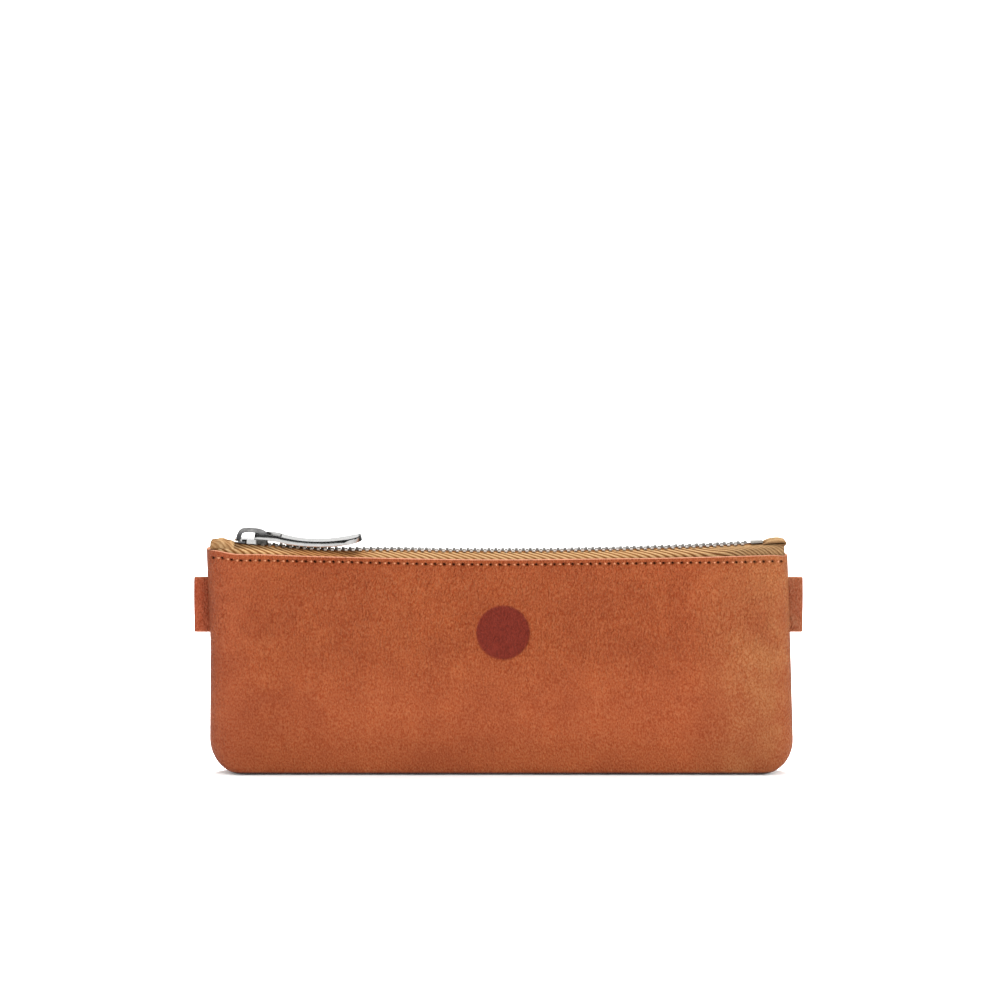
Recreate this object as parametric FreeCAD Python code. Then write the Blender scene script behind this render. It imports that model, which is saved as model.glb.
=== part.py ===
import FreeCAD
import Part
import math
import os

from FreeCAD import Vector

# Zip-top leather pen case standing on its bottom seam.
# X runs along the zip, the front faces -Y and Z is up.
# The origin is on the floor under the middle of the case.
# All lengths are in millimetres and all angles in degrees.

# Leather body
CASE_LENGTH = 210.0
EDGE_HEIGHT = 77.4
CORNER_RADIUS = 13.0
LEATHER = 1.5
RIM_DEPTH = 9.4
ROLL_RADIUS = 4.6
INNER_CHAMFER = 1.9
CREASE = 0.9
ALLOWANCE = 5.0
TRIM_HEIGHT = 94.0

# How far a cutting shape reaches past what it cuts, and how near two points count as one
CUT_PAST = 1.0
TOUCH = 0.01

# Swell of the leather's front, a smooth patch that leaves the flat rim without a crease
SWELL_HALF_LENGTH = 96.5
SWELL_BOTTOM = 8.5
SWELL_TOP = 73.0
SWELL_LOW_POLE = 7.6
SWELL_HIGH_POLE = 4.8
SWELL_COLUMNS = 7

# Side tabs
TAB_HEIGHT = 20.0
TAB_Z = 61.3
TAB_REACH = 5.4
TAB_LEATHER = 1.0
TAB_FOLD_GAP = 0.2
TAB_CLEARANCE = 0.05

# Zip line, an arc that sags in the middle
ZIP_RADIUS = 1500.0
CHAIN_RISE = 2.6
TOOTH_PITCH = 2.5
TOOTH_COUNT = 72
FIRST_TOOTH = -90.2
TOOTH_THICKNESS = 1.15
TOOTH_HEAD = 0.8
TOOTH_HEAD_HALF = 0.55
TOOTH_SHOULDER = 1.1
TOOTH_REACH = 3.0
TOOTH_HALF_HEIGHT = 1.2
CLAMP_GAP = 0.05
BEAD_INNER = 1.35
BEAD_OUTER = 2.45
BEAD_HALF = 0.55
TAPE_THICKNESS = 0.7
TAPE_LAP = 0.2
TAPE_SHOULDER = 4.0
TAPE_TURN_IN = 0.3
TAPE_TURN_ABOVE = 0.7
TAPE_TURN_BELOW = 0.4
TAPE_END = 97.0
TAPE_GAP = 0.15
SEWN_DEPTH = 11.0
TAIL_START = 95.4
TAIL_END = 103.0
TAIL_REACH = 5.0
TAIL_DROP = 1.6
TAIL_FOLD_GAP = 0.1

# Zip stops
TOP_STOP_LENGTH = 2.4
TOP_STOP_WIDTH = 3.7
BOTTOM_STOP_START = 90.4
BOTTOM_STOP_LENGTH = 4.3
STOP_HALF_HEIGHT = 1.25
STOP_WEB = 0.1
STOP_BEVEL = 0.3
STOP_GAP = 0.3

# Slider, drawn round its own centre with its nose toward -X
SLIDER_REST = -89.5
SLIDER_REACH = 12.0
SHIELD_SIDE = [(6.0, 3.4), (1.7, 3.85), (-1.5, 3.85), (-3.2, 4.7), (-5.2, 4.4), (-6.0, 2.6)]
SHIELD_NOTCH = -5.0
SHIELD_ROUND = 0.6
CHANNEL_HALF_HEIGHT = 1.3
CHANNEL_HALF_WIDTH = 3.2
TAPE_SLOT_HALF = 0.55
PLATE = 0.75
FLANGE_FRONT = -1.9
POST_MIDDLE = -3.3
POST_HALF_LENGTH = 1.6
POST_HALF_WIDTH = 1.1
BRIDGE_FEET = (-4.5, 4.5)
BRIDGE_BEND = [(-4.1, 3.6), (-3.1, 4.85), (-1.5, 5.0), (2.6, 4.9), (3.9, 4.3), (4.5, 3.1)]
BRIDGE_WIDTH = 3.2
BRIDGE_STRAP = 1.3
BRIDGE_SOCKET = 0.4

# Pull, drawn from the middle of its end bar with its tip toward +X
PULL_BAR_X = 1.8
PULL_BAR_Z = 3.3
PULL_LENGTH = 38.0
PULL_THICKNESS = 1.5
PULL_STRAIGHT = 7.0
PULL_SAG_X = 21.0
PULL_SAG = 0.9
PULL_TIP_RISE = 1.9
PULL_HALF_WIDTH = 3.1
PULL_NARROWING = 10.0
PULL_WAIST_X = 16.0
PULL_WAIST_HALF = 2.7
PULL_TIP_HALF = 3.3
PULL_TIP_ROUND = 2.4
PULL_BEVEL = 0.5
EYE_LENGTH = 9.0
EYE_HALF_WIDTH = 2.0
EYE_ROUND = 1.2

# Thread
STITCH_PITCH = 3.3
STITCH_LENGTH = 2.3
STITCH_WIDTH = 0.6
STITCH_TOP_WIDTH = 0.3
STITCH_HEIGHT = 0.35
STITCH_DROP = 2.0
STITCH_LIFT = 0.08
STITCH_REACH = 99.0
SEAM_INSET = 3.6
SEAM_END_DROP = 5.0

# Values that follow from the ones above
HALF_LENGTH = CASE_LENGTH / 2
ZIP_CENTRE = Vector(0, 0, EDGE_HEIGHT + ZIP_RADIUS)
CHAIN_RADIUS = ZIP_RADIUS - CHAIN_RISE
CHAIN_Z = EDGE_HEIGHT + CHAIN_RISE
SLIDER_HALF_HEIGHT = CHANNEL_HALF_HEIGHT + PLATE
TAB_HALF = TAB_LEATHER + TAB_FOLD_GAP / 2
TAB_SLOT = TAB_HALF + TAB_CLEARANCE


# Placing and drawing
def along_zip(shape, distance):
    """Carry a shape made at mid length along the zip's arc."""
    moved = shape.copy()
    moved.rotate(ZIP_CENTRE, Vector(0, -1, 0), math.degrees(distance / CHAIN_RADIUS))
    return moved


def mirrored(shape):
    """The same shape on the back half of the case."""
    return shape.mirror(Vector(0, 0, 0), Vector(0, 1, 0))


def across(reach, height):
    """A point of a front-half cross-section, by reach from the middle and height on the chain."""
    return Vector(0, -reach, CHAIN_Z + height)


def polygon(corners):
    return Part.Face(Part.makePolygon(corners + corners[:1]))


def wire_face(pieces):
    return Part.Face(Part.Wire([piece.toShape() for piece in pieces]))


def strip(points, thickness):
    """Corners of a strip of even thickness laid along a polyline of (a, b) points."""
    upper = []
    lower = []
    last = len(points) - 1
    for i, (a, b) in enumerate(points):
        ahead = Vector(*points[min(i + 1, last)]) - Vector(*points[min(i, last - 1)])
        behind = Vector(*points[max(i, 1)]) - Vector(*points[max(i - 1, 0)])
        ahead.normalize()
        behind.normalize()
        turn = ahead + behind
        turn.normalize()
        reach = thickness / 2 / turn.dot(ahead)
        upper.append((a - turn.y * reach, b + turn.x * reach))
        lower.append((a + turn.y * reach, b - turn.x * reach))
    return upper + lower[::-1]


def hairpin(leg, thickness, gap, place):
    """A strip folded back on itself, with the fold's middle at (0, 0) and both legs toward -a."""
    outer = thickness + gap / 2
    inner = gap / 2
    return wire_face([
        Part.LineSegment(place(-leg, -outer), place(0, -outer)),
        Part.Arc(place(0, -outer), place(outer, 0), place(0, outer)),
        Part.LineSegment(place(0, outer), place(-leg, outer)),
        Part.LineSegment(place(-leg, outer), place(-leg, inner)),
        Part.LineSegment(place(-leg, inner), place(0, inner)),
        Part.Arc(place(0, inner), place(inner, 0), place(0, -inner)),
        Part.LineSegment(place(0, -inner), place(-leg, -inner)),
        Part.LineSegment(place(-leg, -inner), place(-leg, -outer)),
    ])


def block(x_limits, y_limits, z_limits):
    size = [limits[1] - limits[0] for limits in (x_limits, y_limits, z_limits)]
    return Part.makeBox(*size, Vector(x_limits[0], y_limits[0], z_limits[0]))


def upright_edges(shape):
    """The edges of a shape that run along Z."""
    return [edge for edge in shape.Edges if abs(edge.tangentAt(edge.FirstParameter).z) > 1 - TOUCH]


# Leather panels
def outline(inset, top, y=0):
    """Front-view outline of the case: straight sides and rounded bottom corners."""
    half = HALF_LENGTH - inset
    radius = CORNER_RADIUS - inset
    bend = radius * (1 - math.sqrt(0.5))
    return wire_face([
        Part.LineSegment(Vector(-half, y, top), Vector(-half, y, inset + radius)),
        Part.Arc(
            Vector(-half, y, inset + radius),
            Vector(-half + bend, y, inset + bend),
            Vector(-half + radius, y, inset),
        ),
        Part.LineSegment(Vector(-half + radius, y, inset), Vector(half - radius, y, inset)),
        Part.Arc(
            Vector(half - radius, y, inset),
            Vector(half - bend, y, inset + bend),
            Vector(half, y, inset + radius),
        ),
        Part.LineSegment(Vector(half, y, inset + radius), Vector(half, y, top)),
        Part.LineSegment(Vector(half, y, top), Vector(-half, y, top)),
    ])


def swell(inset):
    """The bulging patch of the front face. Its two outer rows of poles lie in the rim's plane."""
    lifts = [0, 0, SWELL_LOW_POLE, SWELL_HIGH_POLE, 0, 0]
    top_row = len(lifts) - 1
    rise = (SWELL_TOP - SWELL_BOTTOM) / top_row
    last = SWELL_COLUMNS - 1
    surface = Part.BezierSurface()
    surface.increase(last, top_row)
    for i in range(SWELL_COLUMNS):
        x = SWELL_HALF_LENGTH * (2 * i / last - 1)
        raised = 2 <= i <= last - 2
        for j, lift in enumerate(lifts):
            y = inset - RIM_DEPTH - (lift if raised else 0)
            surface.setPole(i + 1, j + 1, Vector(x, y, SWELL_BOTTOM + j * rise))
    return surface.toShape()


def half_body(inset, past_middle=0):
    """The front half of the filled case, swelling at the front and turned over toward the seam.

    The outside is rolled over and the inside, set back by the inset, is chamfered.
    """
    front = inset - RIM_DEPTH
    prism = outline(inset, TRIM_HEIGHT, past_middle).extrude(Vector(0, front - past_middle, 0))
    rim = [
        edge for edge in prism.Edges
        if all(abs(vertex.Y - front) < TOUCH for vertex in edge.Vertexes)
        and edge.CenterOfMass.z < TRIM_HEIGHT - TOUCH
    ]
    prism = prism.makeChamfer(INNER_CHAMFER, rim) if inset else prism.makeFillet(ROLL_RADIUS, rim)
    flat = max(prism.Faces, key=lambda face: -face.CenterOfMass.y)
    patch = swell(inset)
    frame = flat.cut(Part.Face(patch.OuterWire)).Faces[0]
    others = [face for face in prism.Faces if not face.isSame(flat)]
    shell = Part.makeShell(others + [frame, patch])
    shell.sewShape()
    return Part.Solid(shell)


def zip_opening():
    """The room above the leather's cut edge."""
    reach = 2 * RIM_DEPTH
    return Part.makeCylinder(ZIP_RADIUS, 2 * reach, ZIP_CENTRE - Vector(0, reach, 0), Vector(0, 1, 0))


def front_panel():
    """Front leather: a rolled shell, with the seam allowance turned in along sides and bottom."""
    shell = half_body(0).cut(half_body(LEATHER, CUT_PAST))
    allowance = outline(LEATHER / 2, TRIM_HEIGHT).extrude(Vector(0, -LEATHER, 0))
    inside = outline(LEATHER + ALLOWANCE, TRIM_HEIGHT + CUT_PAST, CUT_PAST)
    inside = inside.extrude(Vector(0, -LEATHER - 2 * CUT_PAST, 0))
    panel = shell.fuse(allowance.cut(inside)).cut(zip_opening()).removeSplitter()
    crease = [
        edge for edge in panel.Edges
        if all(abs(vertex.Y) < TOUCH for vertex in edge.Vertexes) and on_outline(edge)
    ]
    panel = panel.makeChamfer(CREASE, crease)
    for side in (-1, 1):
        panel = tab_pocket(panel, side)
    return panel.removeSplitter().Solids[0]


def on_outline(edge):
    """Whether an edge of the middle plane lies on the case's outer outline."""
    middle = edge.valueAt((edge.FirstParameter + edge.LastParameter) / 2)
    inner = outline(LEATHER / 4, TRIM_HEIGHT)
    return not inner.isInside(Vector(middle.x, 0, middle.z), TOUCH, True) and middle.z < EDGE_HEIGHT


def tab_pocket(panel, side):
    """Set the seam allowance back where a tab is caught in the seam."""
    z_limits = (TAB_Z - TAB_HEIGHT / 2 - TAB_CLEARANCE, TAB_Z + TAB_HEIGHT / 2 + TAB_CLEARANCE)
    seam_end = HALF_LENGTH - LEATHER - ALLOWANCE
    cut = sorted((side * (HALF_LENGTH + CUT_PAST), side * (seam_end - CUT_PAST)))
    kept = sorted((side * (HALF_LENGTH - LEATHER / 2), side * seam_end))
    raised = block(kept, (-TAB_SLOT - LEATHER, -LEATHER / 2), z_limits)
    return panel.fuse(raised).cut(block(cut, (-TAB_SLOT, CUT_PAST), z_limits))


def side_tab(side):
    """A leather strip folded in two, with its tails caught in a side seam."""
    fold_x = HALF_LENGTH + TAB_REACH - TAB_HALF
    tail = fold_x - (HALF_LENGTH - LEATHER - ALLOWANCE)
    low = TAB_Z - TAB_HEIGHT / 2

    def place(a, b):
        return Vector(side * (fold_x + a), b, low)

    return hairpin(tail, TAB_LEATHER, TAB_FOLD_GAP, place).extrude(Vector(0, 0, TAB_HEIGHT))


# Zip tapes and chain
def front_tape():
    """Tape with a corded edge, from the chain over the leather's edge and down inside it."""
    leather_inside = RIM_DEPTH - LEATHER - TAPE_GAP - TAPE_THICKNESS / 2
    band = strip(
        [
            (BEAD_OUTER - TAPE_LAP, 0),
            (TAPE_SHOULDER, 0),
            (leather_inside - TAPE_TURN_IN, -CHAIN_RISE + TAPE_TURN_ABOVE),
            (leather_inside, -CHAIN_RISE - TAPE_TURN_BELOW),
            (leather_inside, -CHAIN_RISE - SEWN_DEPTH),
        ],
        TAPE_THICKNESS,
    )
    bead = [
        (BEAD_INNER, -BEAD_HALF),
        (BEAD_OUTER, -BEAD_HALF),
        (BEAD_OUTER, BEAD_HALF),
        (BEAD_INNER, BEAD_HALF),
    ]
    sweep = math.degrees(TAPE_END / CHAIN_RADIUS)
    tape = None
    for corners in (band, bead):
        section = polygon([across(reach, height) for reach, height in corners])
        section.rotate(ZIP_CENTRE, Vector(0, -1, 0), -sweep)
        run = section.revolve(ZIP_CENTRE, Vector(0, -1, 0), 2 * sweep)
        tape = tape.fuse(run) if tape else run
    for side in (-1, 1):
        tape = tape.fuse(tape_tail(side))
    return tape.removeSplitter().Solids[0]


def tape_tail(side):
    """The end of a tape, folded back on top of itself."""
    high = TAPE_THICKNESS + TAIL_FOLD_GAP
    bulge = high / 2
    tip = TAIL_END - TAIL_START - TAPE_THICKNESS / 2
    path = [(0, 0), (tip - bulge, 0), (tip, bulge), (tip - bulge, high), (0, high)]
    corners = [
        across(BEAD_INNER, height) + Vector(side * distance, 0, 0)
        for distance, height in strip(path, TAPE_THICKNESS)
    ]
    tail = polygon(corners).extrude(Vector(0, -TAIL_REACH, -TAIL_DROP))
    return along_zip(tail, side * TAIL_START)


def with_lower_half(upper):
    """Corners of a front-half cross-section, from those above the chain's middle plane."""
    return upper + [(reach, -height) for reach, height in reversed(upper)]


def tooth_row():
    """One row of metal teeth, each clamped on the tape's corded edge with its head past the middle."""
    upper = [
        (-TOOTH_HEAD, TOOTH_HEAD_HALF),
        (TOOTH_SHOULDER, TOOTH_HALF_HEIGHT),
        (TOOTH_REACH, TOOTH_HALF_HEIGHT),
        (TOOTH_REACH, BEAD_HALF + CLAMP_GAP),
        (BEAD_INNER - CLAMP_GAP, BEAD_HALF + CLAMP_GAP),
    ]
    section = polygon([across(reach, height) for reach, height in with_lower_half(upper)])
    tooth = section.extrude(Vector(TOOTH_THICKNESS, 0, 0))
    tooth.translate(Vector(-TOOTH_THICKNESS / 2, 0, 0))
    return [along_zip(tooth, FIRST_TOOTH + i * TOOTH_PITCH) for i in range(TOOTH_COUNT)]


def front_top_stop():
    """A clamp on the tape's edge that the slider's side walls meet when the zip is shut."""
    slot_end = BEAD_INNER - CLAMP_GAP
    upper = [
        (slot_end - STOP_WEB, STOP_HALF_HEIGHT),
        (TOP_STOP_WIDTH, STOP_HALF_HEIGHT),
        (TOP_STOP_WIDTH, BEAD_HALF + CLAMP_GAP),
        (slot_end, BEAD_HALF + CLAMP_GAP),
    ]
    stop = polygon([across(reach, height) for reach, height in with_lower_half(upper)])
    stop = stop.extrude(Vector(TOP_STOP_LENGTH, 0, 0))
    return along_zip(stop, SLIDER_REST + FLANGE_FRONT - STOP_GAP - TOP_STOP_LENGTH)


def bottom_stop():
    """A clamp across both tapes at the far end of the chain."""
    slot_half = BEAD_HALF + CLAMP_GAP
    quarter = [
        (BEAD_INNER - CLAMP_GAP, slot_half),
        (CHANNEL_HALF_WIDTH, slot_half),
        (CHANNEL_HALF_WIDTH, STOP_HALF_HEIGHT - STOP_BEVEL),
        (CHANNEL_HALF_WIDTH - STOP_BEVEL, STOP_HALF_HEIGHT),
    ]
    across_top = quarter + [(-reach, height) for reach, height in reversed(quarter)]
    stop = polygon([across(reach, height) for reach, height in with_lower_half(across_top)])
    return along_zip(stop.extrude(Vector(BOTTOM_STOP_LENGTH, 0, 0)), BOTTOM_STOP_START)


# Slider
def slider_prism(corners):
    """A prism of the slider's full height over corners given as (x, y)."""
    face = polygon([Vector(x, y, -SLIDER_HALF_HEIGHT) for x, y in corners])
    return face.extrude(Vector(0, 0, 2 * SLIDER_HALF_HEIGHT))


def slider_body():
    """Two shield-shaped plates joined by a post, with side walls that squeeze the chain shut."""
    other_side = [(x, -y) for x, y in reversed(SHIELD_SIDE)]
    whole = slider_prism(SHIELD_SIDE + [(SHIELD_NOTCH, 0)] + other_side)
    corners = [edge for edge in upright_edges(whole) if abs(edge.CenterOfMass.y) > TOUCH]
    whole = whole.makeFillet(SHIELD_ROUND, corners)
    wide = (-SLIDER_REACH, SLIDER_REACH)
    height = (-CHANNEL_HALF_HEIGHT, CHANNEL_HALF_HEIGHT)
    channel = block(wide, (-CHANNEL_HALF_WIDTH, CHANNEL_HALF_WIDTH), height)
    mouth = block((-SLIDER_REACH, FLANGE_FRONT), wide, height)
    tape_slot = block(wide, wide, (-TAPE_SLOT_HALF, TAPE_SLOT_HALF))
    post = slider_prism([
        (POST_MIDDLE - POST_HALF_LENGTH, 0),
        (POST_MIDDLE, POST_HALF_WIDTH),
        (POST_MIDDLE + POST_HALF_LENGTH, 0),
        (POST_MIDDLE, -POST_HALF_WIDTH),
    ])
    return whole.cut(channel.fuse(mouth).fuse(tape_slot)).fuse(post).removeSplitter()


def slider_bridge():
    """A bent strap over the slider's top plate that the pull hangs on."""
    foot = SLIDER_HALF_HEIGHT - BRIDGE_SOCKET
    path = [(BRIDGE_FEET[0], foot)] + BRIDGE_BEND + [(BRIDGE_FEET[1], foot)]
    face = polygon([Vector(x, -BRIDGE_WIDTH / 2, z) for x, z in strip(path, BRIDGE_STRAP)])
    wide = (-SLIDER_REACH, SLIDER_REACH)
    return face.extrude(Vector(0, BRIDGE_WIDTH, 0)).cut(block(wide, wide, (foot - CUT_PAST, foot)))


def top_rim(tongue):
    """The long edges of the pull's top face, from the bend to the tip, whose rounding follows on."""
    return [
        edge for edge in tongue.Edges
        if PULL_STRAIGHT + TOUCH < edge.CenterOfMass.x < PULL_LENGTH - PULL_TIP_HALF
        and abs(edge.CenterOfMass.y) > EYE_HALF_WIDTH
        and edge.CenterOfMass.z > 0
    ]


def pull_tab():
    """A long bowed tongue with an eye, whose round end bar lies under the bridge."""
    half = PULL_THICKNESS / 2
    reach = 2 * PULL_HALF_WIDTH

    def edge_of(lift):
        bend = Vector(PULL_STRAIGHT, 0, lift)
        tip = Vector(PULL_LENGTH, 0, lift + PULL_TIP_RISE)
        return [
            Part.LineSegment(Vector(0, 0, lift), bend),
            Part.Arc(bend, Vector(PULL_SAG_X, 0, lift - PULL_SAG), tip),
        ]

    tip = Vector(PULL_LENGTH, 0, PULL_TIP_RISE)
    profile = wire_face(
        edge_of(-half)
        + [Part.LineSegment(tip - Vector(0, 0, half), tip + Vector(0, 0, half))]
        + edge_of(half)[::-1]
        + [Part.LineSegment(Vector(0, 0, half), Vector(0, 0, -half))]
    )
    side_view = profile.extrude(Vector(0, 2 * reach, 0))
    side_view.translate(Vector(0, -reach, 0))
    side = [
        (0, PULL_HALF_WIDTH),
        (PULL_NARROWING, PULL_HALF_WIDTH),
        (PULL_WAIST_X, PULL_WAIST_HALF),
        (PULL_LENGTH, PULL_TIP_HALF),
    ]
    plan = side + [(x, -y) for x, y in reversed(side)]
    top_view = polygon([Vector(x, y, -reach) for x, y in plan]).extrude(Vector(0, 0, 2 * reach))
    tip_corners = [edge for edge in upright_edges(top_view) if edge.CenterOfMass.x > PULL_LENGTH - TOUCH]
    eye = block((0, EYE_LENGTH), (-EYE_HALF_WIDTH, EYE_HALF_WIDTH), (-reach, reach))
    eye_corners = [edge for edge in upright_edges(eye) if edge.CenterOfMass.x > EYE_LENGTH - TOUCH]
    tongue = top_view.makeFillet(PULL_TIP_ROUND, tip_corners).common(side_view)
    tongue = tongue.makeChamfer(PULL_BEVEL, top_rim(tongue))
    tongue = tongue.cut(eye.makeFillet(EYE_ROUND, eye_corners))
    bar = Part.makeCylinder(half, 2 * PULL_HALF_WIDTH, Vector(0, -PULL_HALF_WIDTH, 0), Vector(0, 1, 0))
    return tongue.fuse(bar).removeSplitter()


def on_slider(shape):
    """Carry a shape drawn round the slider's own centre to the slider's place at the shut end."""
    moved = shape.copy()
    moved.translate(Vector(0, 0, CHAIN_Z))
    return along_zip(moved, SLIDER_REST)


# Thread
def thread_bar(start, end, outward):
    """One straight stitch between two points of a surface."""
    run = end - start
    length = run.Length
    run.normalize()
    outward = outward - run * outward.dot(run)
    outward.normalize()
    sideways = outward.cross(run)
    foot = sideways * (STITCH_WIDTH / 2)
    crown = sideways * (STITCH_TOP_WIDTH / 2)
    top = start + outward * STITCH_HEIGHT
    section = polygon([start - foot, start + foot, top + crown, top - crown])
    return section.extrude(run * length)


def front_top_stitching():
    """The row of stitches that holds the tape under the leather's edge."""
    radius = ZIP_RADIUS + STITCH_DROP
    count = int(2 * STITCH_REACH / STITCH_PITCH)

    def on_leather(distance):
        x = radius * math.sin(distance / radius)
        z = ZIP_CENTRE.z - radius * math.cos(distance / radius)
        return Vector(x, -RIM_DEPTH - STITCH_LIFT, z)

    bars = []
    for i in range(count):
        middle = (i - (count - 1) / 2) * STITCH_PITCH
        start = on_leather(middle - STITCH_LENGTH / 2)
        end = on_leather(middle + STITCH_LENGTH / 2)
        bars.append(thread_bar(start, end, Vector(0, -1, 0)))
    return bars


def front_seam_stitching():
    """One thread of the turned seam, lying on the front allowance and rising over the tab pockets."""
    top = EDGE_HEIGHT - SEAM_END_DROP
    low = LEATHER + STITCH_LIFT
    high = low + TAB_SLOT
    line = outline(SEAM_INSET - STITCH_WIDTH / 2, top, -low)
    line = line.cut(outline(SEAM_INSET + STITCH_WIDTH / 2, top + CUT_PAST, -low))
    thread = line.extrude(Vector(0, low - high - STITCH_HEIGHT, 0))
    wide = (-HALF_LENGTH, HALF_LENGTH)
    tab_low = TAB_Z - TAB_HEIGHT / 2 - TAB_CLEARANCE
    tab_high = TAB_Z + TAB_HEIGHT / 2 + TAB_CLEARANCE
    step = STITCH_HEIGHT + STITCH_LIFT
    over_flat = (-high - CUT_PAST, -low - STITCH_HEIGHT)
    thread = thread.cut(block(wide, over_flat, (0, tab_low - step)))
    thread = thread.cut(block(wide, over_flat, (tab_high + step, TRIM_HEIGHT)))
    under_tab = (tab_low - STITCH_LIFT, tab_high + STITCH_LIFT)
    return thread.cut(block(wide, (-high, 0), under_tab)).removeSplitter()


# All the pieces
def build():
    panel = front_panel()
    teeth = tooth_row()
    shifted = [along_zip(tooth, TOOTH_PITCH / 2) for tooth in teeth]
    top_stitches = front_top_stitching()
    seam_thread = front_seam_stitching()
    tape = front_tape()
    top_stop = front_top_stop()
    body = on_slider(slider_body())
    bridge = on_slider(slider_bridge())
    pull = pull_tab()
    pull.translate(Vector(PULL_BAR_X, 0, PULL_BAR_Z))
    return {
        "front_panel": panel,
        "back_panel": mirrored(panel),
        "left_tab": side_tab(-1),
        "right_tab": side_tab(1),
        "front_tape": tape,
        "back_tape": mirrored(tape),
        "front_teeth": Part.makeCompound(teeth),
        "back_teeth": Part.makeCompound([mirrored(tooth) for tooth in shifted]),
        "front_top_stop": top_stop,
        "back_top_stop": mirrored(top_stop),
        "bottom_stop": bottom_stop(),
        "slider_body": body.cut(bridge),
        "slider_bridge": bridge,
        "pull_tab": on_slider(pull),
        "front_top_stitching": Part.makeCompound(top_stitches),
        "back_top_stitching": Part.makeCompound([mirrored(bar) for bar in top_stitches]),
        "front_seam_stitching": seam_thread,
        "back_seam_stitching": mirrored(seam_thread),
    }


os.makedirs("parts", exist_ok=True)
for name, shape in build().items():
    shape.exportStep("parts/" + name + ".step")
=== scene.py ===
import math

import bmesh
import bpy
import numpy as np
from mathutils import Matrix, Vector


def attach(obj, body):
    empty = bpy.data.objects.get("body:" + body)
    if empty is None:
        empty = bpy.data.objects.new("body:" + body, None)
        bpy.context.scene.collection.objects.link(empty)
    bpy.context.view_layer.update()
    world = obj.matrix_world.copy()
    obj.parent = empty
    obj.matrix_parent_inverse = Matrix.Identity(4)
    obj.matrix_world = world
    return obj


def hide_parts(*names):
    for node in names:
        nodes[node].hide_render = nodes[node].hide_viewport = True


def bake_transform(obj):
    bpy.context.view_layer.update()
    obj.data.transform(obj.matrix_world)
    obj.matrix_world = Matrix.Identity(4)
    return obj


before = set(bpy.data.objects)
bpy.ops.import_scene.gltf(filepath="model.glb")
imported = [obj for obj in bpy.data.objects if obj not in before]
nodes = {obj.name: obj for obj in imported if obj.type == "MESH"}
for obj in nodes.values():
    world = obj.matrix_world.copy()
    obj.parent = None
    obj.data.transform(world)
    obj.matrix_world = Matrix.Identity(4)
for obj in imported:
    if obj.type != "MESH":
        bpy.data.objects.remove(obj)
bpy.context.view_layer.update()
scene = bpy.context.scene

# Sizes of the case in millimetres, as in the solids. The front faces -Y and Z is up.
MM = 0.001
HALF_LENGTH = 105.0
CORNER_RADIUS = 13.0
EDGE_HEIGHT = 77.4
EDGE_LIFT = 0.6
LEATHER = 1.5
RIM_DEPTH = 9.4
ALLOWANCE = 5.0
ZIP_RADIUS = 1500.0
CHAIN_RISE = 2.6
CHAIN_RADIUS = ZIP_RADIUS - CHAIN_RISE
CHAIN_Z = EDGE_HEIGHT + CHAIN_RISE

# Soft form of the leather
ROLL_REACH = 8.5
ROLL_POWER = 2.3
BOTTOM_POWER = 6.0
SEAM_WALL = 1.6
INNER_WALL = 3.0
SEAM_GAP = 0.03
TURNED_PLACES = [0, 0.05, 0.08, 0.11]
ROLL_START = 0.14
EDGE_ROUNDING = 0.32
EDGE_ROUNDING_DEPTH = 0.35
# Painted contact shadow under the bottom edge: its strength and the heights where it starts and is full
BOTTOM_SHADE = 0.97
BOTTOM_SHADE_HEIGHTS = (1.4, 0.8)
SWELL = 2.4
SWELL_HALF_LENGTH = 96.5
SWELL_BOTTOM = 8.5
SWELL_TOP = 73.0
FRONT_WAVES = 0.6
BACK_WAVES = 2.3
LEAN_HEIGHTS = [4.0, 12.0, 46.0, 80.0]
LEFT_LEAN = [-0.1, -0.4, -0.8, 0.4]
RIGHT_LEAN = [1.6, 0.9, -0.2, -1.5]

# Plain pressed disc on the front
DISC_X = 1.2
DISC_Z = 51.9
DISC_RADIUS = 9.7
DISC_DEPTH = 0.35

# Thread
STITCH_PITCH = 3.3
STITCH_DROP = 1.75
STITCH_END_DROP = 0.45
FIRST_STITCH = -31
LAST_STITCH = 31
THREAD_RADIUS = 0.27
HOLE_DEPTH = 0.8
SEAM_INSET = 4.2

# Zip
CHAIN_SAG = 0.85
CHAIN_SAG_X = -64.0
CHAIN_SAG_REACH = 17.0
TOOTH_PITCH = 2.5
TOOTH_THICKNESS = 1.15
TOOTH_COUNT = 72
FIRST_TOOTH = -90.2
LEFT_TAPE_END = -103.4
RIGHT_TAPE_END = 102.3
TAPE_HALF = 0.35
BEAD_INNER = 1.35
BEAD_WIDTH = 1.1
BEAD_HALF = 0.55
RIB_PITCH = 3.1
RIB_ANGLE = math.radians(32)
RIB_LIFT = 0.17
RIB_GATHER = 1.1
RIB_GATHER_X = 80.0
SHOULDER_LIFT = 0.9
LEFT_TAIL = -95.6
RIGHT_TAIL = 94.6
TAIL_INNER = 1.2
TAIL_RISE = 0.75
TAIL_SINK = 0.75
LEFT_TAIL_OUTER = 6.6
RIGHT_TAIL_OUTER = 5.5

# Slider and pull
SLIDER_REST = -89.5
BRIGHT_FLANK = (SLIDER_REST - 3.3, SLIDER_REST + 1.7)
BRIDGE_WIDTH = 3.2
BRIDGE_STRAP = 1.7
PULL_BAR_X = 1.8
PULL_BAR_Z = 3.3
PULL_LENGTH = 38.0
PULL_THICKNESS = 2.05
PULL_ROLL = math.radians(12)
PULL_TIP_LENGTH = 4.6
PULL_HALF_WIDTH = 3.15
EYE_START = 1.1
EYE_END = 9.0
EYE_LANE = 0.62
EYE_SLOPE_START = 4.5
EYE_SLOPE_LANE = 0.44

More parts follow.
